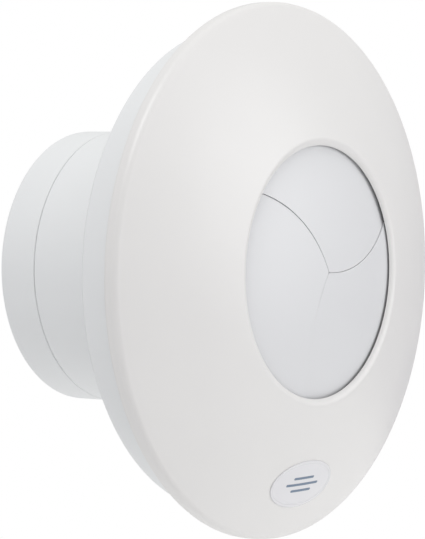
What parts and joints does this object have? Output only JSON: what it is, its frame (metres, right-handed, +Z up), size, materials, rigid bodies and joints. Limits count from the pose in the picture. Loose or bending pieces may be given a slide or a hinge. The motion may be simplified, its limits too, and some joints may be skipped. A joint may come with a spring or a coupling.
{
  "type": "extractor fan with iris shutter",
  "caption": "Round domed axial extractor fan for a 100 mm duct, with a gear-driven iris shutter, rear spigot and collar.",
  "frame": {"origin": "on the duct axis in the wall plane, the rear face of the base", "axes": "+Y along the duct axis from the room into the wall, +Z up, +X to the right as seen from the room"},
  "size_m": [0.19, 0.1088, 0.19],
  "materials": {
    "cover_white": "satin moulded",
    "leaf_white": "satin moulded",
    "base_white": "satin moulded",
    "badge": "printed",
    "carrier_grey": "moulded",
    "acetal": "moulded",
    "impeller_grey": "moulded",
    "brass": "machined",
    "foam": "cellular",
    "rubber": "moulded",
    "steel": "zinc plated",
    "motor_case": "coated",
    "lamination": "stacked",
    "copper": "enamelled wire",
    "bronze": "sintered",
    "board": "solder resist",
    "component": "moulded",
    "connector": "moulded",
    "lid_grey": "moulded",
    "lead": "insulated wire"
  },
  "bodies": {
    "housing": {"base_plate": "base_white", "base_drum": "base_white", "spigot_tube": "base_white", "motor_bracket": "base_white", "wall_seal": "foam", "front_cover": "cover_white", "badge_plate": "badge", "iris_carrier": "carrier_grey", "carrier_screws": "steel", "leaf_pivot_pins": "steel", "ring_retainers": "acetal", "retainer_pins": "steel", "shutter_motor": "motor_case", "shutter_motor_screws": "steel", "rear_collar": "base_white", "outlet_vanes": "base_white", "motor_front_shell": "motor_case", "motor_rear_shell": "motor_case", "stator_core": "lamination", "stator_windings": "copper", "motor_bearings": "bronze", "motor_screws": "steel", "circuit_board": "board", "board_screws": "steel", "board_capacitor": "component", "board_relay": "component", "motor_connector": "connector", "electronics_lid": "lid_grey", "terminal_block": "connector", "terminal_screws": "steel", "cable_clamp": "base_white", "clamp_screws": "steel", "cable_grommet": "rubber", "supply_leads": "lead", "fan_leads": "lead"},
    "ring": {"drive_ring": "acetal"},
    "leaf_1": {"iris_leaf_1": "leaf_white"},
    "leaf_2": {"iris_leaf_2": "leaf_white"},
    "leaf_3": {"iris_leaf_3": "leaf_white"},
    "pinion": {"shutter_pinion": "acetal"},
    "rotor": {"rotor_shaft": "steel", "impeller": "impeller_grey", "impeller_nut": "brass"}
  },
  "joints": [
    {"name": "ring_turn", "type": "hinge", "parent": "housing", "child": "ring", "pos_m": [0, -0.021, 0], "axis": [0, -1, 0], "range_deg": [0, 6.06]},
    {"name": "leaf_1_turn", "type": "hinge", "parent": "housing", "child": "leaf_1", "pos_m": [-0.05926, -0.0311, 0.00939], "axis": [-0.2959, -0.9541, 0.0469], "range_deg": [0, 34]},
    {"name": "leaf_2_turn", "type": "hinge", "parent": "housing", "child": "leaf_2", "pos_m": [0.0215, -0.0311, -0.05602], "axis": [0.1073, -0.9541, -0.2797], "range_deg": [0, 34]},
    {"name": "leaf_3_turn", "type": "hinge", "parent": "housing", "child": "leaf_3", "pos_m": [0.03776, -0.0311, 0.04663], "axis": [0.1885, -0.9541, 0.2328], "range_deg": [0, 34]},
    {"name": "pinion_spin", "type": "hinge", "parent": "housing", "child": "pinion", "pos_m": [-0.01115, -0.021, -0.0793], "axis": [0, -1, 0], "range_deg": [-115.2, 0]},
    {"name": "impeller_spin", "type": "hinge", "parent": "housing", "child": "rotor", "pos_m": [0, 0.024, 0], "axis": [0, -1, 0], "continuous": true}
  ],
  "couplings": [
    {"joint": "leaf_1_turn", "follows": "ring_turn", "ratio": 5.6084},
    {"joint": "leaf_2_turn", "follows": "ring_turn", "ratio": 5.6084},
    {"joint": "leaf_3_turn", "follows": "ring_turn", "ratio": 5.6084},
    {"joint": "pinion_spin", "follows": "ring_turn", "ratio": -19}
  ]
}
